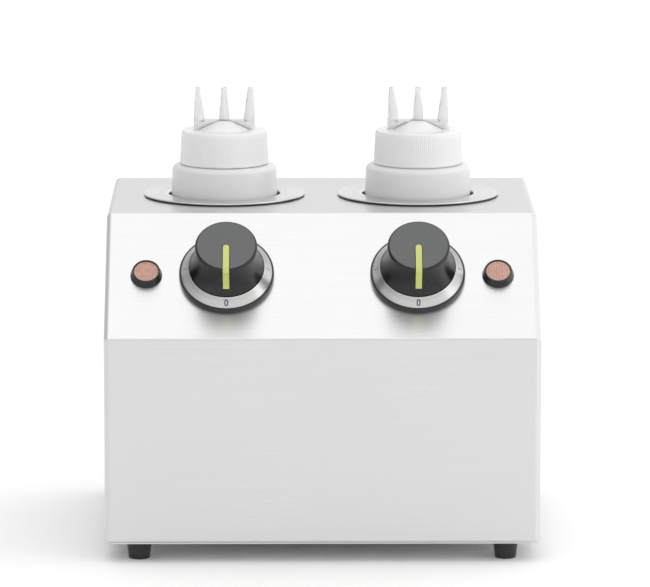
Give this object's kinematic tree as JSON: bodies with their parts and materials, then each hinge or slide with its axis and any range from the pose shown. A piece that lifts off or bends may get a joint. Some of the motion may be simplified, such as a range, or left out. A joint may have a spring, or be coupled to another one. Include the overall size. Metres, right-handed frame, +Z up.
{
  "type": "heated sauce bottle warmer",
  "caption": "Countertop warmer in brushed stainless steel: round wells hold squeeze bottles with triple-nozzle caps, with a dial and a pilot lamp for each well.",
  "frame": {"origin": "on the table, below the middle of the whole object", "axes": "+Z up, the control panel faces -Y, +X to the right of someone facing the controls"},
  "size_m": [0.2806, 0.2364, 0.2893],
  "materials": {
    "brushed_stainless": "horizontal satin brushing",
    "polished_stainless": "bright drawn, fine spun lines",
    "zinc_steel": "bright zinc plating",
    "black_rubber": "moulded, matte",
    "black_silicone": "moulded, satin",
    "mica_band": "mica and steel band",
    "ceramic_wool": "felted fibre",
    "brown_phenolic": "moulded phenolic",
    "copper": "drawn tube",
    "black_knob_plastic": "moulded, fine satin texture",
    "spun_aluminium": "circular spin lines",
    "lime_plastic": "moulded, satin",
    "amber_lens": "prismatic neon lamp lens",
    "white_nylon": "moulded",
    "brass": "stamped, bright",
    "wire_sleeving": "braided glass sleeving",
    "natural_polyethylene": "natural low-density polyethylene, translucent, moulded",
    "foam_seal": "closed-cell foam disc"
  },
  "bodies": {
    "housing": {"housing_shell": "brushed_stainless", "back_panel": "brushed_stainless", "base_plate": "brushed_stainless", "well_left": "polished_stainless", "well_right": "polished_stainless", "tie_bracket": "zinc_steel", "foot_screws": "zinc_steel", "base_screws": "zinc_steel", "back_screws": "zinc_steel", "m4_nuts": "zinc_steel", "well_nuts": "zinc_steel", "clamp_screws": "zinc_steel", "thermostat_screws": "zinc_steel", "inlet_screws": "zinc_steel", "earth_stud": "zinc_steel", "heater_clamp_left": "zinc_steel", "heater_clamp_right": "zinc_steel", "thermostat_left": "zinc_steel", "thermostat_right": "zinc_steel", "foot_front_left": "black_rubber", "foot_front_right": "black_rubber", "foot_rear_left": "black_rubber", "foot_rear_right": "black_rubber", "flange_gasket_left": "black_silicone", "flange_gasket_right": "black_silicone", "heater_band_left": "mica_band", "heater_band_right": "mica_band", "insulation_left": "ceramic_wool", "insulation_right": "ceramic_wool", "thermal_cutout_left": "brown_phenolic", "thermal_cutout_right": "brown_phenolic", "sensor_left": "copper", "sensor_right": "copper", "dial_base_left": "black_knob_plastic", "dial_base_right": "black_knob_plastic", "lamp_bezel_left": "black_knob_plastic", "lamp_bezel_right": "black_knob_plastic", "power_inlet": "black_knob_plastic", "dial_ring_left": "spun_aluminium", "dial_ring_right": "spun_aluminium", "lamp_lens_left": "amber_lens", "lamp_lens_right": "amber_lens", "lamp_holder_left": "white_nylon", "lamp_holder_right": "white_nylon", "terminal_block": "white_nylon", "inlet_pins": "brass", "wiring": "wire_sleeving"},
    "knob_left": {"thermostat_shaft_left": "zinc_steel", "knob_left": "black_knob_plastic", "knob_pointer_left": "lime_plastic"},
    "bottle_left": {"bottle_left": "natural_polyethylene"},
    "cap_seal_left": {"cap_seal_left": "foam_seal"},
    "cap_left": {"cap_left": "natural_polyethylene"},
    "knob_right": {"thermostat_shaft_right": "zinc_steel", "knob_right": "black_knob_plastic", "knob_pointer_right": "lime_plastic"},
    "bottle_right": {"bottle_right": "natural_polyethylene"},
    "cap_seal_right": {"cap_seal_right": "foam_seal"},
    "cap_right": {"cap_right": "natural_polyethylene"}
  },
  "joints": [
    {"name": "knob_left_turn", "type": "hinge", "parent": "housing", "child": "knob_left", "pos_m": [-0.0617, -0.08125, 0.18165], "axis": [0, 0.6898, -0.724], "range_deg": [0, 270]},
    {"name": "bottle_left_lift", "type": "slide", "parent": "housing", "child": "bottle_left", "axis": [0, 0, 1], "range_m": [0, 0.3]},
    {"name": "cap_left_rise", "type": "slide", "parent": "bottle_left", "child": "cap_seal_left", "axis": [0, 0, 1], "range_m": [0, 0.0075]},
    {"name": "cap_left_unscrew", "type": "hinge", "parent": "cap_seal_left", "child": "cap_left", "pos_m": [-0.0645, 0.035, 0.24], "axis": [0, 0, 1], "range_deg": [0, 540]},
    {"name": "knob_right_turn", "type": "hinge", "parent": "housing", "child": "knob_right", "pos_m": [0.0617, -0.08125, 0.18165], "axis": [0, 0.6898, -0.724], "range_deg": [0, 270]},
    {"name": "bottle_right_lift", "type": "slide", "parent": "housing", "child": "bottle_right", "axis": [0, 0, 1], "range_m": [0, 0.3]},
    {"name": "cap_right_rise", "type": "slide", "parent": "bottle_right", "child": "cap_seal_right", "axis": [0, 0, 1], "range_m": [0, 0.0075]},
    {"name": "cap_right_unscrew", "type": "hinge", "parent": "cap_seal_right", "child": "cap_right", "pos_m": [0.0645, 0.035, 0.24], "axis": [0, 0, 1], "range_deg": [0, 540]}
  ],
  "couplings": [
    {"joint": "cap_left_rise", "follows": "cap_left_unscrew", "m_per_rad": 0.00079577},
    {"joint": "cap_right_rise", "follows": "cap_right_unscrew", "m_per_rad": 0.00079577}
  ]
}
